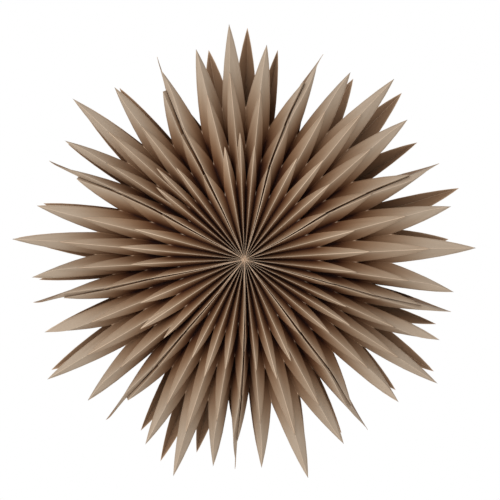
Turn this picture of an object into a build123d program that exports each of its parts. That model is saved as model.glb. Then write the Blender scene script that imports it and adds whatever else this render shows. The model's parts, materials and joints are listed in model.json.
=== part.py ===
"""Folded paper star with layered, pointed leaves.

Nine packets stand side by side round the hub like the slices of a pie. A packet is three paper
sleeves, one inside the other. A sleeve is a tube of thin paper that runs out from the hub: two side
panels joined by a pleated face in front and another behind. Every outward fold of a face ends in the
tip of a leaf, every inward fold in the crotch between two leaves, and each side panel ends in a
slender leaf of its own at mid-depth. The short sleeve is outermost, the long one innermost, so the
leaf tips come in three steps.

The star faces -Y with +Z up. The origin is on the hub's axis, half way through its depth.
"""

import os
from dataclasses import dataclass
from math import cos, hypot, radians, sin, sqrt

from build123d import *

# The paper, and its clearances: ridge on ridge, panel on panel, and packet to packet
PAPER = 0.2
RIDGE_CLEARANCE = 0.05
PANEL_CLEARANCE = 0.3
GLUE_GAP = 0.1

# Depth of the outward folds from the mid-plane, at the hub and at the longest tips
HUB_HALF_DEPTH = 60.0
TIP_HALF_DEPTH = 30.0

# How far a side panel's front and back edges lean into their own packet at the edge leaf's tip
FRONT_LEAN = 2.0
BACK_LEAN = 5.0

# Bow of a leaf's cut edge, as a share of its chord, and the places along it that carry the bow
CUT_BOW = 0.045
BOW_PLACES = (1 / 3, 2 / 3)


@dataclass(frozen=True)
class Tier:
    """One size of sleeve: its place in the packet, its pleats, and where its folds end."""

    name: str
    plies_outside: int
    hub_radius: float
    strip_width: float
    centre_tip: float
    flank_tip: float
    edge_tip: float
    panel_tip: float
    inner_crotch: float
    outer_crotch: float


SHORT = Tier("short", 0, 13.0, 15.5, 161.0, 145.0, 118.0, 140.0, 97.0, 85.0)
MIDDLE = Tier("middle", 1, 22.0, 23.2, 238.0, 214.0, 176.0, 211.0, 144.0, 127.0)
LONG = Tier("long", 2, 36.0, 31.0, 298.0, 273.0, 236.0, 281.0, 192.0, 170.0)


@dataclass(frozen=True)
class Packet:
    """A packet's two side planes and its three front leaf directions, in degrees."""

    start: float
    end: float
    leaves: tuple


# Directions count anticlockwise from +X, seen from the front
PACKETS = (
    Packet(68.6, 113.5, (83.7, 93.7, 103.0)),
    Packet(25.4, 68.6, (39.9, 50.1, 59.8)),
    Packet(-15.1, 25.4, (-9.2, 2.4, 13.5)),
    Packet(-54.6, -15.1, (-44.0, -33.1, -21.9)),
    Packet(-92.4, -54.6, (-85.7, -73.8, -61.2)),
    Packet(-130.0, -92.4, (-117.9, -108.0, -98.0)),
    Packet(-167.6, -130.0, (-161.1, -148.3, -136.9)),
    Packet(153.8, 192.4, (165.6, 175.3, 186.1)),
    Packet(113.5, 153.8, (126.7, 137.0, 147.3)),
)


@dataclass(frozen=True)
class Fold:
    """A fold line from its inner end to the cut edge, with its distance out at the cut."""

    inner: Vector
    outer: Vector
    reach: float


def place(radius: float, direction: float, aside: float, depth: float) -> Vector:
    """Point at a radius in a direction, moved aside anticlockwise, depth in front of mid-plane."""
    turn = radians(direction)
    return Vector(radius * cos(turn) - aside * sin(turn), -depth, radius * sin(turn) + aside * cos(turn))


def face_depth(radius: float) -> float:
    """Depth of the outermost folds, which sink in a straight line from hub to tip."""
    return HUB_HALF_DEPTH + (TIP_HALF_DEPTH - HUB_HALF_DEPTH) * radius / LONG.centre_tip


def panel_inset(tier: Tier) -> float:
    """Distance from a packet's side plane to the outside of a sleeve's panel at mid-depth."""
    return GLUE_GAP / 2 + tier.plies_outside * (PAPER + PANEL_CLEARANCE)


def strip_spread(radius: float, pitch: float) -> float:
    """Width of a strip seen from the front, for folds that are a pitch of degrees apart."""
    return radius * radians(pitch)


def nesting_drop(tier: Tier, spread: float) -> float:
    """How far a sleeve's outward fold lies below the outermost one, to clear the plies over it.

    Two walls that meet at a sharp fold are thicker along its bisector than across the paper.
    """
    plies = tier.plies_outside * (PAPER + RIDGE_CLEARANCE)
    return plies * hypot(spread, SHORT.strip_width) / spread


def pleat_depth(tier: Tier, spread: float) -> float:
    """Depth of an inward fold below the outward ones, for a strip that keeps its width."""
    return sqrt(tier.strip_width**2 - spread**2)


def outward_fold(tier: Tier, side: int, direction: float, tip: float, pitch: float) -> Fold:
    """A fold that ends in a leaf tip, on the front for side 1 and on the back for side -1."""
    ends = []
    for radius in (tier.hub_radius, tip):
        depth = face_depth(radius) - nesting_drop(tier, strip_spread(radius, pitch))
        ends.append(place(radius, direction, 0, side * depth))
    return Fold(ends[0], ends[1], tip)


def inward_fold(tier: Tier, side: int, direction: float, crotch: float, pitch: float) -> Fold:
    """A fold that ends in the crotch between two leaves."""
    ends = []
    for radius in (tier.hub_radius, crotch):
        spread = strip_spread(radius, pitch)
        depth = face_depth(radius) - nesting_drop(tier, spread) - pleat_depth(tier, spread)
        ends.append(place(radius, direction, 0, side * depth))
    return Fold(ends[0], ends[1], crotch)


def edge_fold(tier: Tier, side: int, plane: float, inward: int, pitch: float) -> Fold:
    """The fold between a face and a side panel, leaning into the packet towards its tip.

    Only the strip leans away from the fold, not the panel, so it counts as half a strip's spread.
    """
    lean = FRONT_LEAN if side > 0 else BACK_LEAN
    ends = []
    for radius in (tier.hub_radius, tier.edge_tip):
        run = (radius - SHORT.hub_radius) / (LONG.edge_tip - SHORT.hub_radius)
        aside = panel_inset(tier) + lean * run
        spread = (strip_spread(radius, pitch) - aside) / 2
        depth = face_depth(radius) - nesting_drop(tier, spread)
        ends.append(place(radius, plane, inward * aside, side * depth))
    return Fold(ends[0], ends[1], tier.edge_tip)


def panel_fold(tier: Tier, plane: float, inward: int) -> Fold:
    """The middle line of a side panel, which lies against the next packet."""
    aside = inward * panel_inset(tier)
    inner = place(tier.hub_radius, plane, aside, 0)
    outer = place(tier.panel_tip, plane, aside, 0)
    return Fold(inner, outer, tier.panel_tip)


def even_leaves(packet: Packet) -> tuple:
    """Leaf directions of a packet's back face, which opens evenly."""
    step = (packet.end - packet.start) / (len(packet.leaves) + 1)
    return tuple(packet.start + step * (place_in_row + 1) for place_in_row in range(len(packet.leaves)))


def face_folds(tier: Tier, packet: Packet, side: int) -> list:
    """Folds of one pleated face, from the packet's start plane to its end plane."""
    leaves = packet.leaves if side > 0 else even_leaves(packet)
    tips = (tier.flank_tip, tier.centre_tip, tier.flank_tip)
    crotches = (tier.outer_crotch, tier.inner_crotch, tier.inner_crotch, tier.outer_crotch)
    bounds = (packet.start, *leaves, packet.end)
    pitches = [(high - low) / 2 for low, high in zip(bounds, bounds[1:])]
    folds = [edge_fold(tier, side, packet.start, 1, pitches[0])]
    for place_in_row, crotch in enumerate(crotches):
        pitch = pitches[place_in_row]
        folds.append(inward_fold(tier, side, bounds[place_in_row] + pitch, crotch, pitch))
        if place_in_row < len(leaves):
            narrower = min(pitch, pitches[place_in_row + 1])
            folds.append(outward_fold(tier, side, leaves[place_in_row], tips[place_in_row], narrower))
    folds.append(edge_fold(tier, side, packet.end, -1, pitches[-1]))
    return folds


def sleeve_folds(tier: Tier, packet: Packet) -> list:
    """All folds of a sleeve in order round the tube."""
    front = face_folds(tier, packet, 1)
    back = face_folds(tier, packet, -1)
    return [*front, panel_fold(tier, packet.end, -1), *reversed(back), panel_fold(tier, packet.start, 1)]


class Strip:
    """The paper between two neighbouring folds, creased from the longer fold's inner end."""

    def __init__(self, first: Fold, second: Fold):
        self.first = first
        self.second = second
        self.first_is_long = first.reach > second.reach
        self.long, self.short = (first, second) if self.first_is_long else (second, first)
        self.leaf_normal = self.normal_through(self.long.inner, self.short.outer, self.long.outer)
        self.root_normal = self.normal_through(self.long.inner, self.short.inner, self.short.outer)
        self.bow_points = self.make_bow_points()

    def normal_through(self, origin: Vector, near: Vector, far: Vector) -> Vector:
        """Unit normal of the plane through three points, pointing out of the tube."""
        normal = (far - origin).cross(near - origin).normalized()
        return normal if self.first_is_long else normal * -1

    def make_bow_points(self) -> list:
        """Points of the bowed cut edge, from the first fold's end to the second's."""
        chord = self.second.outer - self.first.outer
        outwards = chord.cross(self.leaf_normal).normalized()
        if outwards.dot(self.first.outer - self.first.inner) < 0:
            outwards = outwards * -1
        bow = 4 * CUT_BOW * chord.length
        return [self.first.outer + chord * at + outwards * (bow * at * (1 - at)) for at in BOW_PLACES]

    def border_normal(self, fold: Fold) -> Vector:
        """Normal of the facet that runs along one of the strip's folds."""
        return self.leaf_normal if fold is self.long else self.root_normal

    def skin(self) -> list:
        """The strip's three facets, each as its corners in order: bowed edge, leaf and root."""
        bow = [self.first.outer, *self.bow_points, self.second.outer]
        leaf = [self.long.inner, self.first.outer, self.second.outer]
        root = [self.first.inner, self.short.outer, self.second.inner]
        return [bow, leaf, root]


def mitre(point: Vector, one: Vector, other: Vector) -> Vector:
    """The point moved through the paper, onto the inside of both walls that meet there."""
    return point - (one + other) * (PAPER / (1 + one.dot(other)))


def inner_corner(fold: Fold, before: Strip, after: Strip) -> Vector:
    """The inner skin's corner under a fold's inner end, where up to four facets meet in a point.

    The point lies under the facets at the hub, no deeper than the paper is thick under any facet.
    """
    inwards = mitre(fold.inner, before.root_normal, after.root_normal) - fold.inner
    normals = [strip.root_normal for strip in (before, after)]
    normals += [strip.border_normal(fold) for strip in (before, after)]
    thickest = max(-inwards.dot(normal) for normal in normals)
    return fold.inner + inwards * (PAPER / thickest)


def inside_points(folds: list, strips: list) -> dict:
    """For each corner of the outer skin, the corner under it on the inner skin."""
    under = {}
    for position, fold in enumerate(folds):
        before, after = strips[position - 1], strips[position]
        under[tuple(fold.inner)] = inner_corner(fold, before, after)
        under[tuple(fold.outer)] = mitre(fold.outer, before.leaf_normal, after.leaf_normal)
        for point in after.bow_points:
            under[tuple(point)] = point - after.leaf_normal * PAPER
    return under


def edge_wall(start: Vector, end: Vector, under: dict) -> list:
    """Two facets that close the paper's edge from one outer corner to the next."""
    start_under, end_under = under[tuple(start)], under[tuple(end)]
    return [[end, start, start_under], [end, start_under, end_under]]


def paper_facets(folds: list) -> list:
    """All facets of a closed sheet folded along the given lines."""
    strips = [Strip(fold, folds[(position + 1) % len(folds)]) for position, fold in enumerate(folds)]
    under = inside_points(folds, strips)
    facets = []
    for strip in strips:
        for corners in strip.skin():
            facets.append(corners)
            facets.append([under[tuple(corner)] for corner in reversed(corners)])
        cut = [strip.first.outer, *strip.bow_points, strip.second.outer]
        for start, end in zip(cut, cut[1:]):
            facets.extend(edge_wall(start, end, under))
        facets.extend(edge_wall(strip.second.inner, strip.first.inner, under))
    return facets


def write_sleeve(tier: Tier, packet: Packet, number: int) -> None:
    """Build one sleeve as a thin folded sheet and write it to its own file."""
    facets = paper_facets(sleeve_folds(tier, packet))
    faces = []
    for corners in facets:
        with BuildLine() as outline:
            Polyline(*corners, close=True)
        faces.append(Face(outline.wire()))
    with BuildPart() as sleeve:
        add(Solid(Shell(faces)))
    sleeve.part.label = f"{tier.name}_sleeve_{number}"
    export_step(sleeve.part, f"parts/{sleeve.part.label}.step")


os.makedirs("parts", exist_ok=True)
for packet_number, one_packet in enumerate(PACKETS, start=1):
    for one_tier in (SHORT, MIDDLE, LONG):
        write_sleeve(one_tier, one_packet, packet_number)
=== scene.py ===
"""Looks of the folded paper star: curved paper sleeves, kraft paper, studio light and camera.

Each CAD sleeve is replaced by one sheet of paper. Its fold lines follow the directions measured on
the photograph at the tips of the three tiers, and a geometry node tree stretches the paper between
neighbouring fold lines, bows it a little and gives it its thickness. Lengths are in metres.
"""

import json
import logging
import math
from dataclasses import dataclass
from enum import Enum

import bpy
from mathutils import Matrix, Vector

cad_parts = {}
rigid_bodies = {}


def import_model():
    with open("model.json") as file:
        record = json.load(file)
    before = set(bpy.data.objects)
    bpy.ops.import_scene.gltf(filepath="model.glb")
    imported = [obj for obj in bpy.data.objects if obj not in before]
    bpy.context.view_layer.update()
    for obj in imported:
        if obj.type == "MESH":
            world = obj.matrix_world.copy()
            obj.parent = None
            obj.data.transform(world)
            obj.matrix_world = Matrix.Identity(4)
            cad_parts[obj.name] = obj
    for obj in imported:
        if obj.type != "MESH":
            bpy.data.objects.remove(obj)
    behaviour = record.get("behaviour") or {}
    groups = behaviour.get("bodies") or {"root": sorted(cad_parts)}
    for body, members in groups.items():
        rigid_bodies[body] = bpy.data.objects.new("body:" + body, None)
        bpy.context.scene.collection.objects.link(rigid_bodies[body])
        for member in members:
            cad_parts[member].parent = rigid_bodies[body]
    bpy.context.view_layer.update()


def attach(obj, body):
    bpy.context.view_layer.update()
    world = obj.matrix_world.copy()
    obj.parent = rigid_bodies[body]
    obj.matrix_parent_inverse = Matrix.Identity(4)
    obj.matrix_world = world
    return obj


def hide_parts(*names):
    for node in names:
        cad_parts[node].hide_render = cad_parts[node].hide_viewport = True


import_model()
LOG = logging.getLogger("paper_star")

SLOT = "kraft_paper"

Socket = bpy.types.NodeSocket
Value = Socket | float | tuple

# The paper, and the room that a fold or a side panel leaves for each ply over it
PAPER = 0.00022
PLY_STEP = 0.00045
MOST_PLY_DROP = 0.0016
PANEL_INSET = 0.0001
INSET_FULL_FROM = 0.02

# Stretch before the end of an outer panel over which the one under it comes out to the seam
FREE_STRETCH = 0.015

# Depth of the outermost folds at the hub and at the longest tips
HUB_HALF_DEPTH = 0.060
TIP_HALF_DEPTH = 0.030

# How far tips curl away from the mid-plane, from this share of their fold's length
TIP_LIFT = 0.0032
LIFT_FROM = 0.6

# Points of a fold line: where they begin, how many there are, and how they crowd towards the hub
HUB_RADIUS = 0.0004
STATIONS = 15
STATION_POWER = 1.3

# Radius up to which folds run straight out, and the share of its way to the middle leaf's direction
# that a fold has drifted where the short leaf over it ends
HUB_KNOT = 0.050
EARLY_DRIFT = 0.8

# Smallest width that a strip is reckoned with, so that nothing is divided by zero
THINNEST = 1e-5

# Seams: lean of the back edges, gap at the hub, and share of a gap that lies anticlockwise of it
BACK_LEAN = 0.0025
HUB_GAP = 0.0002
GAP_SHARE = 0.6

# The narrow fin clockwise of a seam: widths at the hub, the three edge tips and its end, its slope,
# and how far its bend runs past the fold
FIN_WIDTHS = (0.0001, 0.0008, 0.0022, 0.0054, 0.0006)
FIN_SLOPE = 1.1
BEND_PAST = 0.004

# The slot between two packets, which has its full depth from this radius
SLOT_DEPTH = 0.009
SLOT_FULL_FROM = 0.05

# The grid: how its columns crowd towards the folds, and its guard against rounding
CROWDING = 0.8
ROUNDING = 0.0001

# Ripples in the paper: their fineness, and how fast they grow with the distance from the hub
RIPPLE_SCALE = 14.0
RIPPLE_GROWTH = 5.0

# Length that the texture coordinates give to every sheet
TEXTURE_LENGTH = 0.28

# Distances at which the ends of the tube, and the two skins of the sheet, are welded
TUBE_WELD = 1e-6
SKIN_WELD = 1e-7

# Shade in the pleats: half the angle of a mean pleat, limits of a pleat's opening against it, the
# radii at the hub over which the shade sets in, and the light left inside a sleeve
MEAN_HALF_PLEAT = math.radians(5.0)
LEAST_OPENING = 0.5
MOST_OPENING = 2.0
HUB_LIGHT = (0.0005, 0.004)
INSIDE_LIGHT = 0.45

WHITE = (1.0, 1.0, 1.0, 1.0)


class FoldKind(Enum):
    """What a fold line of a sleeve is; the value sets the painted highlight, wear and shade of its
    crease.
    """

    RIDGE = 1.0
    VALLEY = 0.0


class Reach(Enum):
    """Which of its tier's tips a leaf ends in."""

    CENTRE = "centre_tip"
    FLANK = "flank_tip"


@dataclass(frozen=True)
class Shade:
    """How fast it gets dark towards a valley, and the radii between which the shade fades out."""

    power: float
    start: float
    end: float


@dataclass(frozen=True)
class Tier:
    """One size of sleeve: the plies over it, its strips' width, where its folds end, and its looks.

    fin_tip is where the front edge fold clockwise of a seam ends; the next field sets how light the
    worn folds and their painted highlight are, and light is the share of the light that the leaves
    round the sleeve leave it, painted as shade into the sleeve's colour.
    """

    name: str
    plies_outside: int
    strip_width: float
    centre_tip: float
    flank_tip: float
    edge_tip: float
    panel_tip: float
    inner_crotch: float
    outer_crotch: float
    fin_tip: float
    painted_light_and_wear: float
    light: float
    shade: Shade


SHORT = Tier(
    name="short",
    plies_outside=0,
    strip_width=0.0155,
    centre_tip=0.161,
    flank_tip=0.145,
    edge_tip=0.118,
    panel_tip=0.140,
    inner_crotch=0.097,
    outer_crotch=0.085,
    fin_tip=0.120,
    painted_light_and_wear=0.95,
    light=0.82,
    shade=Shade(power=1.9, start=0.089, end=0.142),
)
MIDDLE = Tier(
    name="middle",
    plies_outside=1,
    strip_width=0.0232,
    centre_tip=0.238,
    flank_tip=0.214,
    edge_tip=0.176,
    panel_tip=0.211,
    inner_crotch=0.144,
    outer_crotch=0.127,
    fin_tip=0.180,
    painted_light_and_wear=0.65,
    light=0.83,
    shade=Shade(power=2.5, start=0.120, end=0.192),
)
LONG = Tier(
    name="long",
    plies_outside=2,
    strip_width=0.0310,
    centre_tip=0.298,
    flank_tip=0.273,
    edge_tip=0.236,
    panel_tip=0.281,
    inner_crotch=0.192,
    outer_crotch=0.170,
    fin_tip=0.262,
    painted_light_and_wear=0.35,
    light=1.0,
    shade=Shade(power=2.1, start=0.150, end=0.236),
)
TIERS = (SHORT, MIDDLE, LONG)
EDGE_TIPS = (SHORT.edge_tip, MIDDLE.edge_tip, LONG.edge_tip)


@dataclass(frozen=True)
class Course:
    """A number that changes on its way out, such as a direction, known at the radii of its knots."""

    radii: tuple
    values: tuple

    def at(self, radius: float) -> float:
        """The number at a radius, on a smooth curve through the knots.

        Args:
            radius: Distance from the hub's axis.

        Returns:
            The number, constant inside the first knot and outside the last one.
        """
        if radius <= self.radii[0]:
            return self.values[0]
        if radius >= self.radii[-1]:
            return self.values[-1]
        step = next(i for i, knot in enumerate(self.radii[1:]) if radius <= knot)
        low, high = self.radii[step], self.radii[step + 1]
        along = (radius - low) / (high - low)
        eased = along * along * (3 - 2 * along)
        mixed = (along + eased) / 2
        return self.values[step] + (self.values[step + 1] - self.values[step]) * mixed


@dataclass(frozen=True)
class Seam:
    """Where two packets meet.

    degrees holds its direction near the hub, at the three tiers' edge tips and at its end. gap is
    how far apart the front edges beside it look at those edge tips.
    """

    degrees: tuple
    gap: tuple

    @property
    def bearing(self) -> Course:
        """Direction of the seam on its way out, in degrees."""
        return Course((HUB_KNOT, *EDGE_TIPS, LONG.panel_tip), self.degrees)

    def aside(self, radius: float, anticlockwise: bool, side: int) -> float:
        """Distance of a face's edge from the seam.

        Args:
            radius: Distance from the hub's axis.
            anticlockwise: True for the edge on the seam's anticlockwise side.
            side: 1 for the front and -1 for the back.

        Returns:
            The distance.
        """
        if side < 0:
            return BACK_LEAN * radius / LONG.edge_tip
        knots = (0.0, *EDGE_TIPS)
        if anticlockwise:
            return Course(knots, (HUB_GAP, *self.gap)).at(radius) * GAP_SHARE
        return Course((*knots, LONG.fin_tip), FIN_WIDTHS).at(radius)


@dataclass(frozen=True)
class Packet:
    """Directions of a packet's leaves in degrees, rising.

    front holds each leaf's direction at the short, middle and long tips, and back one for each leaf.
    """

    front: tuple
    back: tuple
    back_reach: tuple = (Reach.FLANK, Reach.CENTRE, Reach.FLANK)


# Directions count anticlockwise from +X, seen from the front; seam n lies clockwise of packet n
SEAMS = (
    Seam((73.0, 74.3, 72.7, 70.8, 68.6), (0.0046, 0.0048, 0.0046)),
    Seam((26.3, 28.4, 27.5, 26.2, 25.4), (0.0046, 0.0048, 0.0040)),
    Seam((-16.3, -16.1, -16.1, -15.0, -15.1), (0.0022, 0.0020, 0.0004)),
    Seam((-53.2, -53.5, -52.9, -54.2, -54.6), (0.0046, 0.0032, 0.0008)),
    Seam((-89.6, -90.6, -91.2, -92.2, -92.4), (0.0030, 0.0030, 0.0008)),
    Seam((-127.8, -129.2, -129.3, -130.0, -130.0), (0.0036, 0.0056, 0.0056)),
    Seam((-166.9, -168.1, -167.5, -167.7, -167.6), (0.0030, 0.0030, 0.0010)),
    Seam((151.0, 150.8, 152.3, 153.9, 153.8), (0.0046, 0.0030, 0.0050)),
    Seam((113.4, 114.6, 115.6, 114.8, 113.5), (0.0060, 0.0074, 0.0084)),
)

PACKETS = (
    Packet(
        front=((84.8, 84.4, 83.7), (92.0, 94.5, 93.7), (99.9, 102.9, 103.0)),
        back=(80.5, 89.0, 99.6),
    ),
    Packet(
        front=((41.2, 40.9, 39.9), (51.4, 51.0, 50.1), (62.4, 61.1, 59.8)),
        back=(32.8, 45.6, 58.0),
    ),
    Packet(
        front=((-6.9, -7.9, -10.2), (3.2, 2.9, 2.4), (14.3, 14.7, 13.5)),
        back=(-9.8, 4.2, 17.1),
        back_reach=(Reach.FLANK, Reach.FLANK, Reach.CENTRE),
    ),
    Packet(
        front=((-41.1, -41.7, -44.0), (-32.3, -32.9, -33.1), (-25.3, -24.8, -21.5)),
        back=(-41.8, -31.7, -20.0),
    ),
    Packet(
        front=((-83.9, -84.5, -85.7), (-74.9, -74.0, -73.8), (-65.6, -62.9, -61.2)),
        back=(-85.6, -73.9, -61.3),
    ),
    Packet(
        front=((-117.8, -117.9, -117.9), (-108.7, -108.6, -108.0), (-99.7, -99.6, -97.7)),
        back=(-120.2, -111.9, -103.3),
    ),
    Packet(
        front=((-157.0, -157.4, -161.1), (-146.0, -148.3, -148.3), (-135.4, -138.8, -136.9)),
        back=(-159.0, -149.0, -136.7),
    ),
    Packet(
        front=((164.8, 165.9, 165.6), (174.5, 174.8, 175.3), (182.7, 183.3, 186.3)),
        back=(165.6, 175.7, 187.1),
    ),
    Packet(
        front=((126.6, 127.9, 126.7), (134.0, 137.0, 137.0), (140.8, 145.6, 147.5)),
        back=(126.6, 137.3, 147.8),
    ),
)


@dataclass
class FoldLine:
    """A fold from the hub to the cut edge of the sheet.

    free_from is how far from the star's middle an inward fold begins to lie bare, where it gets the
    painted highlight on worn folds and the painted shade of an outward one.
    """

    kind: FoldKind
    points: list
    free_from: float = math.inf

    def kinds(self) -> list:
        """Value of the kind at each point."""
        free = FoldKind.RIDGE.value
        return [free if point.length > self.free_from else self.kind.value for point in self.points]


def place(radius: float, degrees: float, aside: float, depth: float) -> Vector:
    """Point in the row frame.

    Args:
        radius: Distance from the hub's axis.
        degrees: Direction, anticlockwise from +X seen from the front.
        aside: Shift at right angles to the direction, anticlockwise.
        depth: Distance in front of the mid-plane.

    Returns:
        The point.
    """
    turn = math.radians(degrees)
    across, up = math.cos(turn), math.sin(turn)
    return Vector((radius * across - aside * up, -depth, radius * up + aside * across))


def face_depth(radius: float) -> float:
    """Depth of the outermost folds at a radius."""
    return HUB_HALF_DEPTH + (TIP_HALF_DEPTH - HUB_HALF_DEPTH) * radius / LONG.centre_tip


def stations(reach: float) -> list:
    """Radii of the points of a fold line that ends at the radius reach."""
    shares = [(i / (STATIONS - 1)) ** STATION_POWER for i in range(STATIONS)]
    return [HUB_RADIUS + (reach - HUB_RADIUS) * share for share in shares]


@dataclass
class Sleeve:
    """The fold lines of one sleeve of a packet, in order round the tube."""

    tier: Tier
    number: int

    def __post_init__(self) -> None:
        """Look up the packet's leaves and the seams on both sides of it."""
        self.packet = PACKETS[self.number - 1]
        self.high_seam, self.high_turn = self.seam(self.number - 2)
        self.low_seam, self.low_turn = self.seam(self.number - 1)

    def seam(self, index: int) -> tuple:
        """A seam, and the full turns to add so that it lies beside this packet.

        Args:
            index: Place in the row of seams, counted round.

        Returns:
            The seam and its turns in degrees.
        """
        found = SEAMS[index % len(SEAMS)]
        centre = self.packet.front[1][2]
        turns = round((centre - found.degrees[-1]) / 360) * 360
        return found, turns

    def leaf_bearings(self, side: int, tier: Tier) -> list:
        """Bearings of the leaves' folds of one face; an inner sheet drifts away from the outer one.

        Args:
            side: 1 for the front and -1 for the back.
            tier: The tier whose folds are asked for.

        Returns:
            Three courses in degrees, in rising order.
        """
        if side < 0:
            return [Course((0.0,), (degrees,)) for degrees in self.packet.back]
        known = 1 + tier.plies_outside
        radii = (HUB_KNOT, SHORT.centre_tip, MIDDLE.centre_tip, LONG.centre_tip)[: known + 1]
        found = []
        for short, middle, long in self.packet.front:
            drifted = short + EARLY_DRIFT * (middle - short)
            directions = (short, drifted, middle, long) if known > 1 else (short, short)
            found.append(Course(radii, directions[: known + 1]))
        return found

    def row_at(self, side: int, radius: float) -> list:
        """Directions of the edge folds and leaf folds of one face.

        Args:
            side: 1 for the front and -1 for the back.
            radius: Distance from the hub's axis.

        Returns:
            Five directions in degrees, rising.
        """
        low = self.low_seam.bearing.at(radius) + self.low_turn
        high = self.high_seam.bearing.at(radius) + self.high_turn
        low += math.degrees(self.low_seam.aside(radius, True, side) / radius)
        high -= math.degrees(self.high_seam.aside(radius, False, side) / radius)
        leaves = [bearing.at(radius) for bearing in self.leaf_bearings(side, self.tier)]
        return [low, *leaves, high]

    def ridge_depth(self, spread: float, radius: float) -> float:
        """Depth of an outward fold, which clears the plies over it.

        Args:
            spread: Width of the narrower strip beside the fold, seen from the front.
            radius: Distance from the hub's axis.

        Returns:
            The depth.
        """
        drop = PLY_STEP * math.hypot(spread, SHORT.strip_width) / max(spread, THINNEST)
        return face_depth(radius) - self.tier.plies_outside * min(drop, MOST_PLY_DROP)

    def tuck(self, side: int, leaf: int, spread: float, radius: float) -> float:
        """How much deeper a leaf's fold lies where it has drifted under the flank of outer leaves.

        Args:
            side: 1 for the front and -1 for the back.
            leaf: Place of the leaf in its face, 0 to 2.
            spread: Width of the narrower strip beside the fold, seen from the front.
            radius: Distance from the hub's axis.

        Returns:
            The extra depth.
        """
        own = self.leaf_bearings(side, self.tier)[leaf].at(radius)
        total = 0.0
        for outer in TIERS[: self.tier.plies_outside]:
            over = self.leaf_bearings(side, outer)[leaf].at(radius)
            drift = radius * math.radians(abs(own - over))
            slope = math.sqrt(max(outer.strip_width**2 - spread**2, 0)) / max(spread, THINNEST)
            covered = (outer.flank_tip - radius) / (outer.flank_tip - outer.inner_crotch)
            total += drift * slope * min(1, max(0, covered))
        return total

    def spread_at(self, side: int, radius: float, gap: int) -> float:
        """Width of each strip in a face's gap 0 to 3 between outward folds, seen from the front."""
        row = self.row_at(side, radius)
        return radius * math.radians(row[gap + 1] - row[gap]) / 2

    def ridge(self, side: int, position: int, reach: float) -> FoldLine:
        """An outward fold of a face.

        Args:
            side: 1 for the front and -1 for the back.
            position: Place in the face's row of outward folds, 0 to 4.
            reach: Radius of its tip.

        Returns:
            The fold line.
        """
        points = []
        for radius in stations(reach):
            gaps = [gap for gap in (position - 1, position) if 0 <= gap <= 3]
            spread = min(self.spread_at(side, radius, gap) for gap in gaps)
            direction = self.row_at(side, radius)[position]
            depth = self.ridge_depth(spread, radius)
            depth += TIP_LIFT * max(0, (radius / reach - LIFT_FROM) / (1 - LIFT_FROM)) ** 2
            if position in (1, 2, 3):
                depth -= self.tuck(side, position - 1, spread, radius)
            points.append(place(radius, direction, 0, side * depth))
        return FoldLine(FoldKind.RIDGE, points)

    def valley(self, side: int, gap: int, reach: float) -> FoldLine:
        """An inward fold, half way between two outward ones, as deep as its strips are wide.

        Args:
            side: 1 for the front and -1 for the back.
            gap: Place in the face's row of inward folds, 0 to 3.
            reach: Radius of its crotch.

        Returns:
            The fold line.
        """
        points = []
        for radius in stations(reach):
            row = self.row_at(side, radius)
            spread = self.spread_at(side, radius, gap)
            fall = math.sqrt(max(self.tier.strip_width**2 - spread**2, 0))
            depth = self.ridge_depth(spread, radius) - fall
            points.append(place(radius, (row[gap] + row[gap + 1]) / 2, 0, side * depth))
        return FoldLine(FoldKind.VALLEY, points)

    def panel_inset(self, radius: float) -> float:
        """Distance of a side panel from the seam, with room for the panels of outer sleeves.

        Args:
            radius: Distance from the hub's axis.

        Returns:
            The distance.
        """
        aside = PANEL_INSET
        for outer in TIERS[: self.tier.plies_outside]:
            aside += PLY_STEP * min(1, max(0, (outer.panel_tip - radius) / FREE_STRETCH))
        return aside * min(1, radius / INSET_FULL_FROM)

    def seam_beside(self, high: bool) -> tuple:
        """The seam on the anticlockwise side if high, else on the clockwise one, and its turns."""
        return (self.high_seam, self.high_turn) if high else (self.low_seam, self.low_turn)

    def bend(self, high: bool) -> FoldLine:
        """The soft bend of a side panel below the front edge's fold, where it meets the next packet.

        Args:
            high: True for the panel on the anticlockwise side, which leans over to its fold in
                the open and stays light; the other one's bend lies at the bottom of the slot.

        Returns:
            The fold line.
        """
        tier = self.tier
        seam, turn = self.seam_beside(high)
        points = []
        for radius in stations(tier.fin_tip + BEND_PAST if high else tier.edge_tip):
            direction = seam.bearing.at(radius) + turn
            inset = self.panel_inset(radius)
            if high:
                fall = FIN_SLOPE * seam.aside(radius, False, 1)
            else:
                fall = SLOT_DEPTH * min(1, radius / SLOT_FULL_FROM)
            depth = self.ridge_depth(self.spread_at(1, radius, 3 if high else 0), radius) - fall
            points.append(place(radius, direction, -inset if high else inset, depth))
        if high:
            return FoldLine(FoldKind.RIDGE, points)
        return FoldLine(FoldKind.VALLEY, points, tier.edge_tip)

    def panel(self, high: bool) -> FoldLine:
        """The middle fold of a side panel, at mid-depth beside the next packet.

        Args:
            high: True for the panel on the anticlockwise side.

        Returns:
            The fold line.
        """
        seam, turn = self.seam_beside(high)
        points = []
        for radius in stations(self.tier.panel_tip):
            aside = self.panel_inset(radius)
            direction = seam.bearing.at(radius) + turn
            points.append(place(radius, direction, -aside if high else aside, 0))
        return FoldLine(FoldKind.VALLEY, points, self.tier.edge_tip)

    def face(self, side: int) -> list:
        """All folds of one face.

        Args:
            side: 1 for the front and -1 for the back.

        Returns:
            Nine fold lines in rising order.
        """
        tier = self.tier
        reach = (Reach.FLANK, Reach.CENTRE, Reach.FLANK) if side > 0 else self.packet.back_reach
        last = tier.fin_tip if side > 0 else tier.edge_tip
        tips = (tier.edge_tip, *(getattr(tier, kind.value) for kind in reach), last)
        crotches = (tier.outer_crotch, tier.inner_crotch, tier.inner_crotch, tier.outer_crotch)
        folds = [self.ridge(side, 0, tips[0])]
        for gap, crotch in enumerate(crotches):
            folds.append(self.valley(side, gap, crotch))
            folds.append(self.ridge(side, gap + 1, tips[gap + 1]))
        return folds

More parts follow.
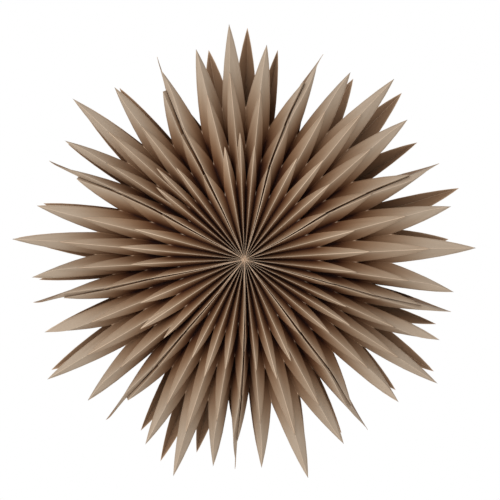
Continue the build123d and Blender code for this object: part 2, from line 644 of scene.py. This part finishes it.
    def folds(self) -> list:
        """All 22 folds in order round the tube."""
        rising = [*self.face(1), self.bend(True), self.panel(True)]
        return [*rising, *reversed(self.face(-1)), self.panel(False), self.bend(False)]


@dataclass
class NodeTree:
    """Short calls for building a node tree of any kind."""

    tree: bpy.types.NodeTree

    def socket(
        self, name: str, kind: str, output: bool = False, value: Value | None = None
    ) -> bpy.types.NodeTreeInterfaceSocket:
        """Add a socket to the group's interface.

        Args:
            name: The socket's name.
            kind: Its type, such as NodeSocketFloat.
            output: True for an output.
            value: Default value, if any.

        Returns:
            The interface socket.
        """
        way = "OUTPUT" if output else "INPUT"
        made = self.tree.interface.new_socket(name=name, in_out=way, socket_type=kind)
        if value is not None:
            made.default_value = value
        return made

    def feed(self, target: Socket, given: Value) -> None:
        """Link a socket to an input, or set the input to a value.

        Args:
            target: The input.
            given: The socket or the value.
        """
        if isinstance(given, Socket):
            self.tree.links.new(given, target)
        else:
            target.default_value = given

    def add(self, kind: str, inputs: dict | None = None, **settings: object) -> bpy.types.Node:
        """Add a node, set its properties, and set or link its inputs.

        Args:
            kind: The node's type name.
            inputs: Values or output sockets by input name or index.
            settings: Properties of the node.

        Returns:
            The node.
        """
        node = self.tree.nodes.new(kind)
        for name, value in settings.items():
            setattr(node, name, value)
        for key, value in (inputs or {}).items():
            self.feed(node.inputs[key], value)
        return node

    def math(self, operation: str, *values: Value) -> Socket:
        """Add a maths node for an operation such as ADD, and return its result."""
        inputs = dict(enumerate(values))
        return self.add("ShaderNodeMath", inputs, operation=operation).outputs[0]

    def vector(self, operation: str, *values: Value) -> Socket:
        """Add a vector maths node.

        Args:
            operation: Such as SCALE; for it the second value is the scale.
            values: Vectors or sockets.

        Returns:
            The result, a number for DISTANCE, LENGTH and DOT_PRODUCT.
        """
        inputs = dict(enumerate(values))
        if operation == "SCALE":
            inputs = {0: values[0], "Scale": values[1]}
        node = self.add("ShaderNodeVectorMath", inputs, operation=operation)
        is_number = operation in ("DISTANCE", "LENGTH", "DOT_PRODUCT")
        return node.outputs["Value" if is_number else "Vector"]

    def falling(self, value: Socket, start: Value, end: Value) -> Socket:
        """Add a smooth ramp from 1 down to 0.

        Args:
            value: Number that runs along the ramp.
            start: Where the ramp leaves 1.
            end: Where it reaches 0.

        Returns:
            The ramp's result.
        """
        ramp = {"Value": value, "From Min": start, "From Max": end, "To Min": 1.0, "To Max": 0.0}
        return self.add("ShaderNodeMapRange", ramp, interpolation_type="SMOOTHSTEP").outputs["Result"]

    def mix_color(self, factor: Value, first: Value, second: Value, blend: str = "MIX") -> Socket:
        """Add a colour mix.

        Args:
            factor: How much of the second shows.
            first: Colour at factor 0.
            second: Colour at factor 1.
            blend: How the second goes over the first, such as MULTIPLY.

        Returns:
            The mixed colour.
        """
        node = self.add("ShaderNodeMix", data_type="RGBA", blend_type=blend)
        for index, given in ((0, factor), (6, first), (7, second)):
            self.feed(node.inputs[index], given)
        return node.outputs[2]


@dataclass
class Strip:
    """Fields of a grid point: its strip's number, its place on it, and the strip's two folds."""

    number: Socket
    across: Socket
    along: Socket
    first: Socket
    second: Socket


@dataclass
class Loft:
    """Fields of flat paper between two folds.

    one_kind and other_kind are the kinds of the folds, point lies beside the grid point and end on
    the cut edge, width runs from fold to fold and ahead along the paper, chord is the strip's width
    at the cut edge, and stretch is that width as a share of the folded strip's own.
    """

    one_kind: Socket
    other_kind: Socket
    point: Socket
    end: Socket
    width: Socket
    ahead: Socket
    chord: Socket
    stretch: Socket


class PaperTree:
    """The geometry node tree that stretches paper between the fold lines of a sleeve."""

    def __init__(self) -> None:
        """Build the tree."""
        self.group = bpy.data.node_groups.new("folded_paper", "GeometryNodeTree")
        self.nodes = NodeTree(self.group)
        self.ids = {}
        self.declare()
        self.given = self.nodes.add("NodeGroupInput").outputs
        self.build()

    def declare(self) -> None:
        """Add the tree's inputs and its output, and keep the inputs' identifiers."""
        n = self.nodes
        n.socket("Fold lines", "NodeSocketGeometry")
        for name, kind, value in (
            ("Folds", "NodeSocketInt", 22),
            ("Across", "NodeSocketInt", 8),
            ("Along", "NodeSocketInt", 34),
            ("Paper", "NodeSocketFloat", PAPER),
            ("Strip width", "NodeSocketFloat", LONG.strip_width),
            ("Cut bow", "NodeSocketFloat", 0.022),
            ("Bulge", "NodeSocketFloat", 0.012),
            ("Waviness", "NodeSocketFloat", 0.0012),
            ("Shade power", "NodeSocketFloat", LONG.shade.power),
            ("Shade start", "NodeSocketFloat", LONG.shade.start),
            ("Shade end", "NodeSocketFloat", LONG.shade.end),
            # strength of the painted highlight on worn outward folds
            ("Painted highlight and wear", "NodeSocketFloat", LONG.painted_light_and_wear),
            ("Light", "NodeSocketFloat", LONG.light),
            ("Sheet", "NodeSocketFloat", 0.0),
            ("Material", "NodeSocketMaterial", None),
        ):
            self.ids[name] = n.socket(name, kind, value=value).identifier
        n.socket("Paper sheet", "NodeSocketGeometry", output=True)

    def build(self) -> None:
        """Add all nodes: fold curves, grid, curved paper, stored values, thickness and material."""
        n = self.nodes
        grid, strip = self.grid()
        loft = self.loft(self.fold_curves(), strip)
        moved = {"Geometry": grid, "Position": self.curved(strip, loft)}
        sheet = n.add("GeometryNodeSetPosition", moved).outputs[0]
        sheet = self.stored(sheet, strip, loft)
        weld = {"Geometry": sheet, "Distance": TUBE_WELD}
        self.finish(n.add("GeometryNodeMergeByDistance", weld).outputs[0])

    def fold_curves(self) -> Socket:
        """Smooth curves through the points of the fold lines."""
        n = self.nodes
        lines = n.add("GeometryNodeMeshToCurve", {"Mesh": self.given["Fold lines"]})
        curves = {"Curve": lines.outputs[0]}
        return n.add("GeometryNodeCurveSplineType", curves, spline_type="CATMULL_ROM").outputs[0]

    def grid(self) -> tuple:
        """Flat grid with as many columns of faces for each strip as "Across" says.

        Returns:
            The grid and its Strip.
        """
        n, given = self.nodes, self.given
        columns = n.math("MULTIPLY", given["Folds"], given["Across"])
        grid = n.add(
            "GeometryNodeMeshGrid",
            {
                "Size X": columns,
                "Size Y": 1.0,
                "Vertices X": n.math("ADD", columns, 1.0),
                "Vertices Y": given["Along"],
            },
        ).outputs["Mesh"]
        position = n.add("GeometryNodeInputPosition").outputs[0]
        spot = n.add("ShaderNodeSeparateXYZ", {0: position}).outputs
        column = n.math("ROUND", n.math("ADD", spot[0], n.math("MULTIPLY", columns, 0.5)))
        share = n.math("DIVIDE", column, given["Across"])
        number = n.math("FLOOR", n.math("ADD", share, ROUNDING))
        even = n.math("SUBTRACT", share, number)
        swing = n.math("SINE", n.math("MULTIPLY", even, math.tau))
        across = n.math("SUBTRACT", even, n.math("MULTIPLY", swing, CROWDING / math.tau))
        along = n.math("ADD", spot[1], 0.5)
        first = n.math("MODULO", number, given["Folds"])
        second = n.math("MODULO", n.math("ADD", number, 1.0), given["Folds"])
        *kept, grid = self.captured(grid, [number, across, along, first, second])
        return grid, Strip(*kept)

    def captured(self, geometry: Socket, fields: list) -> list:
        """Freeze fields on the grid's points, because positions change later.

        Args:
            geometry: The grid.
            fields: Numbers to keep.

        Returns:
            The frozen numbers, then the geometry.
        """
        node = self.nodes.add("GeometryNodeCaptureAttribute", {"Geometry": geometry}, domain="POINT")
        for index, field in enumerate(fields):
            node.capture_items.new("FLOAT", f"kept {index}")
            self.group.links.new(field, node.inputs[1 + index])
        return [*node.outputs[1 : 1 + len(fields)], node.outputs[0]]

    def named(self, name: str) -> Socket:
        """Number stored on the geometry under a name."""
        return self.nodes.add(
            "GeometryNodeInputNamedAttribute", {"Name": name}, data_type="FLOAT"
        ).outputs[0]

    def sample(self, lines: Socket, value: Socket, factor: Value, index: Socket) -> dict:
        """Place on a fold line.

        Args:
            lines: The fold curves.
            value: Field to read there.
            factor: Share of the line's length.
            index: Number of the fold.

        Returns:
            The node's outputs by name.
        """
        node = self.nodes.add(
            "GeometryNodeSampleCurve", mode="FACTOR", data_type="FLOAT", use_all_curves=False
        )
        pairs = {"Curves": lines, "Value": value, "Factor": factor, "Curve Index": index}
        for name, given in pairs.items():
            target = next(s for s in node.inputs if s.name == name and s.enabled)
            self.nodes.feed(target, given)
        return {s.name: s for s in node.outputs if s.enabled}

    def mix(self, start: Socket, end: Socket, factor: Socket) -> Socket:
        """Point between two points, at a share of the way."""
        step = self.nodes.vector("SUBTRACT", end, start)
        return self.nodes.vector("ADD", start, self.nodes.vector("SCALE", step, factor))

    def loft(self, lines: Socket, strip: Strip) -> Loft:
        """Flat paper between the two folds of each strip.

        Args:
            lines: The fold curves.
            strip: Fields of the grid.

        Returns:
            The fields of the paper.
        """
        n = self.nodes
        ridge = self.named("ridge")
        one = self.sample(lines, ridge, strip.along, strip.first)
        other = self.sample(lines, ridge, strip.along, strip.second)
        one_end = self.sample(lines, ridge, 1.0, strip.first)
        other_end = self.sample(lines, ridge, 1.0, strip.second)
        chord = n.vector("DISTANCE", one_end["Position"], other_end["Position"])
        ahead = self.mix(one_end["Tangent"], other_end["Tangent"], strip.across)
        return Loft(
            one_kind=one["Value"],
            other_kind=other["Value"],
            point=self.mix(one["Position"], other["Position"], strip.across),
            end=self.mix(one_end["Position"], other_end["Position"], strip.across),
            width=n.vector("SUBTRACT", other["Position"], one["Position"]),
            ahead=n.vector("NORMALIZE", ahead),
            chord=chord,
            stretch=n.math("DIVIDE", chord, self.given["Strip width"]),
        )

    def curved(self, strip: Strip, loft: Loft) -> Socket:
        """Position of the paper with its bowed cut edge, its bulging strips and its ripples.

        Args:
            strip: Fields of the grid.
            loft: Fields of the flat paper.

        Returns:
            The position.
        """
        n, given = self.nodes, self.given
        inside = n.math("MULTIPLY", strip.across, n.math("SUBTRACT", 1.0, strip.across))
        lens = n.math("MULTIPLY", inside, 4.0)
        bow = n.math(
            "MULTIPLY",
            n.math("MULTIPLY", loft.chord, given["Cut bow"]),
            n.math("MULTIPLY", lens, loft.stretch),
        )
        bow = n.math("MULTIPLY", bow, n.math("POWER", strip.along, 2.0))
        spot = n.vector("ADD", loft.point, n.vector("SCALE", loft.ahead, bow))

        out = n.vector("NORMALIZE", n.vector("CROSS_PRODUCT", loft.ahead, loft.width))
        bulge = n.math("MULTIPLY", lens, given["Bulge"])
        rise = n.math("MULTIPLY", bulge, n.vector("LENGTH", loft.width))
        spot = n.vector("ADD", spot, n.vector("SCALE", out, rise))

        noise = {"Vector": spot, "Scale": RIPPLE_SCALE, "Detail": 1.0}
        ripple = n.add("ShaderNodeTexNoise", noise).outputs["Color"]
        wave = n.vector("SUBTRACT", ripple, (0.5, 0.5, 0.5))
        wave = n.vector("SCALE", wave, given["Waviness"])
        growth = n.math("MULTIPLY", n.vector("LENGTH", spot), RIPPLE_GROWTH)
        return n.vector("ADD", spot, n.vector("SCALE", wave, n.math("MINIMUM", growth, 1.0)))

    def stored(self, sheet: Socket, strip: Strip, loft: Loft) -> Socket:
        """Store on the sheet what the material reads.

        Args:
            sheet: The curved sheet.
            strip: Fields of the grid.
            loft: Fields of the flat paper.

        Returns:
            The sheet.
        """
        n, given = self.nodes, self.given
        past_middle = n.math("GREATER_THAN", strip.across, 0.5)
        kind = n.math(
            "ADD",
            n.math("MULTIPLY", loft.one_kind, n.math("SUBTRACT", 1.0, past_middle)),
            n.math("MULTIPLY", loft.other_kind, past_middle),
        )
        nearest = n.math("MINIMUM", strip.across, n.math("SUBTRACT", 1.0, strip.across))
        skew = n.vector("SCALE", loft.ahead, n.vector("DOT_PRODUCT", loft.width, loft.ahead))
        square = n.vector("SUBTRACT", loft.width, skew)
        to_cut = n.vector("DISTANCE", loft.end, loft.point)
        place_round = n.math("ADD", strip.number, strip.across)
        flat = n.add(
            "ShaderNodeCombineXYZ",
            {
                "X": n.math("MULTIPLY", place_round, given["Strip width"]),
                "Y": n.math("MULTIPLY", strip.along, TEXTURE_LENGTH),
            },
        ).outputs[0]
        for name, value, kind_name, domain in (
            ("ridge", kind, "FLOAT", "POINT"),
            ("from_fold", n.math("MULTIPLY", nearest, n.vector("LENGTH", square)), "FLOAT", "POINT"),
            ("from_cut", n.math("DIVIDE", to_cut, loft.stretch), "FLOAT", "POINT"),
            ("light", self.light_left(strip, loft, square), "FLOAT", "POINT"),
            ("sheet", given["Sheet"], "FLOAT", "POINT"),
            # strength of the painted highlight on worn outward folds
            ("painted_light_and_wear", given["Painted highlight and wear"], "FLOAT", "POINT"),
            ("UVMap", flat, "FLOAT2", "CORNER"),
        ):
            sheet = n.add(
                "GeometryNodeStoreNamedAttribute",
                {"Geometry": sheet, "Name": name, "Value": value},
                data_type=kind_name,
                domain=domain,
            ).outputs[0]
        return sheet

    def light_left(self, strip: Strip, loft: Loft, square: Socket) -> Socket:
        """Share of the light that reaches a point of a pleat's wall.

        Args:
            strip: Fields of the grid.
            loft: Fields of the flat paper.
            square: Vector from the first fold to the second, square to the paper's length.

        Returns:
            The value of "Light" on a ridge and beyond the radius "Shade end", less elsewhere.
        """
        n, given = self.nodes, self.given
        rise = n.math("SUBTRACT", loft.other_kind, loft.one_kind)
        height = n.math("ADD", loft.one_kind, n.math("MULTIPLY", rise, strip.across))
        radius = n.vector("LENGTH", n.vector("MULTIPLY", loft.point, (1.0, 0.0, 1.0)))
        lateral = n.vector("LENGTH", n.vector("MULTIPLY", square, (1.0, 0.0, 1.0)))
        opening = n.math("DIVIDE", lateral, n.math("MULTIPLY", radius, MEAN_HALF_PLEAT))
        opening = n.math("MINIMUM", n.math("MAXIMUM", opening, LEAST_OPENING), MOST_OPENING)
        power = n.math("DIVIDE", given["Shade power"], opening)
        left = n.math("POWER", n.math("MAXIMUM", height, 0.0), power)
        span = {"Value": radius, "From Min": given["Shade start"], "From Max": given["Shade end"]}
        outer = n.add("ShaderNodeMapRange", {**span, "To Min": 1.0, "To Max": 0.0})
        hub = {"Value": radius, "From Min": HUB_LIGHT[0], "From Max": HUB_LIGHT[1]}
        inner = n.add("ShaderNodeMapRange", hub)
        weight = n.math("MULTIPLY", outer.outputs["Result"], inner.outputs["Result"])
        lost = n.math("MULTIPLY", n.math("SUBTRACT", 1.0, left), weight)
        return n.math("MULTIPLY", n.math("SUBTRACT", 1.0, lost), given["Light"])

    def finish(self, sheet: Socket) -> None:
        """Give the sheet its thickness, smooth shading and material, and end the tree.

        Args:
            sheet: Geometry of the outer skin.
        """
        n, given = self.nodes, self.given
        sheet = n.add("GeometryNodeFlipFaces", {"Mesh": sheet}).outputs[0]
        normal = n.add("GeometryNodeInputNormal").outputs[0]
        keep = n.add("GeometryNodeCaptureAttribute", {"Geometry": sheet}, domain="POINT")
        keep.capture_items.new("VECTOR", "outwards")
        self.group.links.new(normal, keep.inputs[1])
        inwards = n.vector("SCALE", keep.outputs[1], n.math("MULTIPLY", given["Paper"], -1.0))
        moved = {"Geometry": keep.outputs[0], "Offset": inwards}
        inner = n.add("GeometryNodeSetPosition", moved).outputs[0]
        grown = n.add(
            "GeometryNodeExtrudeMesh",
            {
                "Mesh": inner,
                "Offset": keep.outputs[1],
                "Offset Scale": given["Paper"],
                "Individual": False,
            },
            mode="FACES",
        ).outputs
        dim = n.math("MULTIPLY", self.named("light"), INSIDE_LIGHT)
        dimmed = n.add(
            "GeometryNodeStoreNamedAttribute",
            {"Geometry": inner, "Name": "light", "Value": dim},
            data_type="FLOAT",
            domain="POINT",
        ).outputs[0]
        flipped = n.add("GeometryNodeFlipFaces", {"Mesh": dimmed}).outputs[0]
        whole = n.add("GeometryNodeJoinGeometry", {0: flipped})
        smooth = n.add("GeometryNodeSetShadeSmooth", {"Geometry": grown["Mesh"]}).outputs[0]
        edges = {"Geometry": smooth, "Selection": grown["Side"], "Shade Smooth": False}
        crisp = n.add("GeometryNodeSetShadeSmooth", edges).outputs[0]
        self.group.links.new(crisp, whole.inputs[0])
        weld = {"Geometry": whole.outputs[0], "Distance": SKIN_WELD}
        joined = n.add("GeometryNodeMergeByDistance", weld).outputs[0]
        real = n.add("GeometryNodeRealizeInstances", {"Geometry": joined}).outputs[0]
        dressed = {"Geometry": real, "Material": given["Material"]}
        n.add("NodeGroupOutput", {0: n.add("GeometryNodeSetMaterial", dressed).outputs[0]})


@dataclass
class SheetMaker:
    """Makes the paper sheets and puts them in place of the CAD sleeves."""

    tree: PaperTree
    material: bpy.types.Material

    def fold_mesh(self, sleeve: Sleeve, name: str) -> bpy.types.Mesh:
        """Mesh of the fold lines, one chain of edges each.

        Args:
            sleeve: The sleeve.
            name: The mesh's name.

        Returns:
            The mesh, with the fold's kind on its points.
        """
        points, edges, kinds = [], [], []
        for fold in sleeve.folds():
            start = len(points)
            points += fold.points
            kinds += fold.kinds()
            edges += [(i, i + 1) for i in range(start, len(points) - 1)]
        mesh = bpy.data.meshes.new(name)
        mesh.from_pydata(points, edges, [])
        mesh.attributes.new("ridge", "FLOAT", "POINT").data.foreach_set("value", kinds)
        return mesh

    def make(self, tier: Tier, number: int) -> bpy.types.Object:
        """One sheet of paper in place of its CAD node.

        Args:
            tier: Size of the sleeve.
            number: The packet's number, from 1.

        Returns:
            The finished object, a plain mesh.
        """
        node = f"{tier.name}_sleeve_{number}"
        name = f"paper_{tier.name}_{number}"
        folds = self.fold_mesh(Sleeve(tier, number), name + "_folds")
        piece = bpy.data.objects.new(name, folds)
        bpy.context.scene.collection.objects.link(piece)
        modifier = piece.modifiers.new("paper", "NODES")
        modifier.node_group = self.tree.group
        for socket, value in (
            ("Strip width", tier.strip_width),
            ("Shade power", tier.shade.power),
            ("Shade start", tier.shade.start),
            ("Shade end", tier.shade.end),
            ("Painted highlight and wear", tier.painted_light_and_wear),
            ("Light", tier.light),
            ("Sheet", float(number + 10 * tier.plies_outside)),
            ("Material", self.material),
        ):
            modifier[self.tree.ids[socket]] = value
        graph = bpy.context.evaluated_depsgraph_get()
        mesh = bpy.data.meshes.new_from_object(
            piece.evaluated_get(graph), preserve_all_data_layers=True, depsgraph=graph
        )
        piece.modifiers.remove(modifier)
        piece.data = mesh
        mesh.name = name
        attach(piece, "root")
        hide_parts(node)
        return piece


@dataclass(frozen=True)
class FoldWearAndPaintedLight:
    """Painted highlights on worn folds, cut edges and notches, and painted shade in the pleats.

    The highlights' colour fades out between a small start distance and a fold's or cut's width, and
    at the end of an inward fold between notch_from and notch_width. darkest is the least light, and
    warmth holds the powers of the light in red, green and blue, because light that bounces off the
    paper takes its colour.
    """

    ridge_width: float = 0.0009
    cut_width: float = 0.0009
    highlight_and_wear_from: float = 0.0001
    notch_from: float = 0.0005
    notch_width: float = 0.0014
    darkest: float = 0.008
    warmth: tuple = (0.66, 1.0, 1.33)

    def group(self) -> bpy.types.NodeTree:
        """Node group of the masks, read from the attributes that the paper's tree stores.

        Returns:
            The group; its outputs are the masks Ridge, the painted highlight on worn folds, Notch and
            Cut, painted highlights, and Shade, a colour of painted shade to multiply by.
        """
        group = bpy.data.node_groups.new("fold_wear_and_painted_light", "ShaderNodeTree")
        n = NodeTree(group)
        n.socket("Ridge width", "NodeSocketFloat", value=self.ridge_width)
        n.socket("Cut width", "NodeSocketFloat", value=self.cut_width)
        for name in ("Ridge", "Notch", "Cut"):
            n.socket(name, "NodeSocketFloat", output=True)
        n.socket("Shade", "NodeSocketColor", output=True)
        given = n.add("NodeGroupInput").outputs
        read = {
            name: n.add("ShaderNodeAttribute", attribute_name=name).outputs["Fac"]
            for name in ("ridge", "from_fold", "from_cut", "light", "painted_light_and_wear")
        }
        near_fold = n.falling(read["from_fold"], self.highlight_and_wear_from, given["Ridge width"])
        near_valley = n.falling(read["from_fold"], self.notch_from, self.notch_width)
        near_end = n.falling(read["from_cut"], self.notch_from, self.notch_width)
        # painted highlight on worn outward folds
        highlight_and_wear = n.math("MULTIPLY", near_fold, read["ridge"])
        is_valley = n.math("SUBTRACT", 1.0, read["ridge"])
        light = n.math("MAXIMUM", read["light"], self.darkest)
        channels = zip(("Red", "Green", "Blue"), self.warmth)
        warm = {channel: n.math("POWER", light, power) for channel, power in channels}
        n.add(
            "NodeGroupOutput",
            {
                "Ridge": n.math("MULTIPLY", highlight_and_wear, read["painted_light_and_wear"]),
                # painted highlight where an inward fold ends at the cut edge, and along the cut edges
                "Notch": n.math("MULTIPLY", n.math("MULTIPLY", near_valley, is_valley), near_end),
                "Cut": n.falling(read["from_cut"], self.highlight_and_wear_from, given["Cut width"]),
                "Shade": n.add("ShaderNodeCombineColor", warm).outputs[0],
            },
        )
        return group


@dataclass(frozen=True)
class Fibres:
    """Paper texture: a cloudy mottling, fibres along the sheet and a fine grain."""

    cloud_scale: float = 45.0
    fibre_scale: float = 1600.0
    grain_scale: float = 700.0
    squeeze: tuple = (1.0, 0.25, 1.0)
    shift: tuple = (0.37, 0.91)
    cloud_share: float = 0.45
    fibre_share: float = 0.25
    grain_share: float = 0.30

    def group(self) -> bpy.types.NodeTree:
        """Node group of the texture, from paper coordinates and the sheet's number.

        Returns:
            The group; its outputs are Tone, from 0 to 1 with mean 0.5, and Height.
        """
        group = bpy.data.node_groups.new("paper_fibres", "ShaderNodeTree")
        n = NodeTree(group)
        n.socket("Vector", "NodeSocketVector")
        n.socket("Sheet", "NodeSocketFloat", value=0.0)
        n.socket("Tone", "NodeSocketFloat", output=True)
        n.socket("Height", "NodeSocketFloat", output=True)
        given = n.add("NodeGroupInput").outputs
        shift = {axis: n.math("MULTIPLY", given["Sheet"], by) for axis, by in zip("XY", self.shift)}
        spot = n.vector("ADD", given["Vector"], n.add("ShaderNodeCombineXYZ", shift).outputs[0])
        cloud = self.noise(n, spot, {"Scale": self.cloud_scale, "Detail": 3.0})
        squeezed = n.vector("MULTIPLY", spot, self.squeeze)
        fibre = self.noise(n, squeezed, {"Scale": self.fibre_scale, "Detail": 2.0, "Distortion": 0.6})
        grain = self.noise(n, spot, {"Scale": self.grain_scale, "Detail": 4.0, "Roughness": 0.7})
        fine = n.math(
            "ADD",
            n.math("MULTIPLY", fibre, self.fibre_share),
            n.math("MULTIPLY", grain, self.grain_share),
        )
        tone = n.math("ADD", n.math("MULTIPLY", cloud, self.cloud_share), fine)
        height = n.math("ADD", n.math("MULTIPLY", fibre, 0.5), n.math("MULTIPLY", grain, 0.5))
        n.add("NodeGroupOutput", {"Tone": tone, "Height": height})
        return group

    def noise(self, n: NodeTree, spot: Socket, settings: dict) -> Socket:
        """Noise at a spot, with the given inputs set."""
        return n.add("ShaderNodeTexNoise", {"Vector": spot, **settings}).outputs[0]


@dataclass(frozen=True)
class KraftPaper:
    """The star's paper: matt and mottled, with painted highlights on worn folds, cut edges and
    notches.
    """

    flank_dark: tuple = (0.39, 0.300, 0.218, 1.0)
    flank_light: tuple = (0.49, 0.388, 0.295, 1.0)
    # colour of the painted highlights on worn folds, cut edges and notches
    highlight_and_wear: tuple = (0.76, 0.575, 0.415, 1.0)
    tone_range: tuple = (0.3, 0.7)
    cut_share: float = 0.9
    notch_share: float = 0.4
    roughness: float = 0.82
    specular: float = 0.25
    bump_strength: float = 0.35
    bump_height: float = 0.0002

    def material(self) -> bpy.types.Material:
        """The paper's material.

        Returns:
            The material, which reads the attributes that the paper's tree stores.
        """
        material = bpy.data.materials.new(SLOT)
        material.use_nodes = True
        n = NodeTree(material.node_tree)
        shader = material.node_tree.nodes["Principled BSDF"]
        n.feed(shader.inputs["Roughness"], self.roughness)
        n.feed(shader.inputs["Specular IOR Level"], self.specular)
        painted_light_and_wear = n.add("ShaderNodeGroup", node_tree=FoldWearAndPaintedLight().group()).outputs
        paper = n.add("ShaderNodeUVMap", uv_map="UVMap").outputs[0]
        sheet = n.add("ShaderNodeAttribute", attribute_name="sheet").outputs["Fac"]
        fibres = n.add("ShaderNodeGroup", node_tree=Fibres().group())
        n.feed(fibres.inputs["Vector"], paper)
        n.feed(fibres.inputs["Sheet"], sheet)
        low, high = self.tone_range
        span = {"From Min": low, "From Max": high, "To Min": 0.0, "To Max": 1.0}
        tone = n.add("ShaderNodeMapRange", {"Value": fibres.outputs["Tone"], **span}).outputs[0]
        base = n.mix_color(tone, self.flank_dark, self.flank_light)
        # painted highlight on cut edges, then painted shade, then painted highlights on worn folds
        # and notches
        base = n.mix_color(n.math("MULTIPLY", painted_light_and_wear["Cut"], self.cut_share), base, self.highlight_and_wear)
        base = n.mix_color(1.0, base, painted_light_and_wear["Shade"], "MULTIPLY")
        base = n.mix_color(painted_light_and_wear["Ridge"], base, self.highlight_and_wear)
        base = n.mix_color(n.math("MULTIPLY", painted_light_and_wear["Notch"], self.notch_share), base, self.highlight_and_wear)
        n.feed(shader.inputs["Base Color"], base)
        relief = {"Height": fibres.outputs["Height"], "Strength": self.bump_strength}
        bump = n.add("ShaderNodeBump", {**relief, "Distance": self.bump_height})
        n.feed(shader.inputs["Normal"], bump.outputs[0])
        return material


@dataclass(frozen=True)
class PhotoCamera:
    """Camera at the photograph's place, fitted to the leaf tips; angles are in degrees."""

    lens: float = 110.54
    shift_x: float = 0.01228
    shift_y: float = 0.01234
    azimuth: float = -0.77
    elevation: float = 4.03
    distance: float = 2.0

    def place(self) -> None:
        """Add the camera and look through it at the star's middle."""
        data = bpy.data.cameras.new("camera")
        data.lens = self.lens
        data.shift_x = self.shift_x
        data.shift_y = self.shift_y
        camera = bpy.data.objects.new("camera", data)
        azimuth, elevation = math.radians(self.azimuth), math.radians(self.elevation)
        back = Vector(
            (
                math.sin(azimuth) * math.cos(elevation),
                -math.cos(azimuth) * math.cos(elevation),
                math.sin(elevation),
            )
        )
        camera.location = back * self.distance
        camera.rotation_mode = "QUATERNION"
        camera.rotation_quaternion = (-back).to_track_quat("-Z", "Y")
        bpy.context.scene.collection.objects.link(camera)
        bpy.context.scene.camera = camera


@dataclass(frozen=True)
class Studio:
    """Soft key light from the left, a bright surround, and a pale floor below the picture's edge."""

    key_energy: float = 30.0
    key_size: float = 1.6
    key_place: tuple = (-1.1, -2.2, 0.5)
    surround: float = 0.75
    floor_height: float = -0.75
    floor_side: float = 3.0
    floor_shift: float = -0.2
    floor_color: tuple = (0.85, 0.85, 0.84, 1.0)
    floor_roughness: float = 0.9

    def light(self) -> None:
        """Add the key light and the surround, which the camera sees as white."""
        lamp = bpy.data.lights.new("key", "AREA")
        lamp.energy = self.key_energy
        lamp.size = self.key_size
        key = bpy.data.objects.new("key", lamp)
        key.location = self.key_place
        key.rotation_mode = "QUATERNION"
        key.rotation_quaternion = (-key.location).to_track_quat("-Z", "Y")
        bpy.context.scene.collection.objects.link(key)
        world = bpy.data.worlds.new("surround")
        world.use_nodes = True
        n = NodeTree(world.node_tree)
        world.node_tree.nodes.clear()
        path = n.add("ShaderNodeLightPath").outputs["Is Camera Ray"]
        ambient = n.add("ShaderNodeBackground", {"Color": WHITE, "Strength": self.surround})
        white = n.add("ShaderNodeBackground", {"Color": WHITE, "Strength": 1.0})
        mixed = n.add("ShaderNodeMixShader", {0: path, 1: ambient.outputs[0], 2: white.outputs[0]})
        n.add("ShaderNodeOutputWorld", {"Surface": mixed.outputs[0]})
        bpy.context.scene.world = world

    def floor(self) -> None:
        """Add the floor, which takes the star's shadow."""
        material = bpy.data.materials.new("pale_floor")
        material.use_nodes = True
        shader = material.node_tree.nodes["Principled BSDF"]
        shader.inputs["Base Color"].default_value = self.floor_color
        shader.inputs["Roughness"].default_value = self.floor_roughness
        half = self.floor_side / 2
        corners = [
            (x, y + self.floor_shift, self.floor_height)
            for x, y in ((-half, -half), (half, -half), (half, half), (-half, half))
        ]
        mesh = bpy.data.meshes.new("floor")
        mesh.from_pydata(corners, [], [(0, 1, 2, 3)])
        mesh.materials.append(material)
        floor = bpy.data.objects.new("floor", mesh)
        bpy.context.scene.collection.objects.link(floor)


def main() -> None:
    """Build the whole scene and report each piece."""
    logging.basicConfig(level=logging.INFO)
    maker = SheetMaker(PaperTree(), KraftPaper().material())
    for number in range(1, len(PACKETS) + 1):
        for tier in TIERS:
            piece = maker.make(tier, number)
            LOG.info("%s has %d faces", piece.name, len(piece.data.polygons))
    PhotoCamera().place()
    studio = Studio()
    studio.light()
    studio.floor()
    bpy.context.scene.view_settings.view_transform = "Standard"


if __name__ == "__main__":
    main()
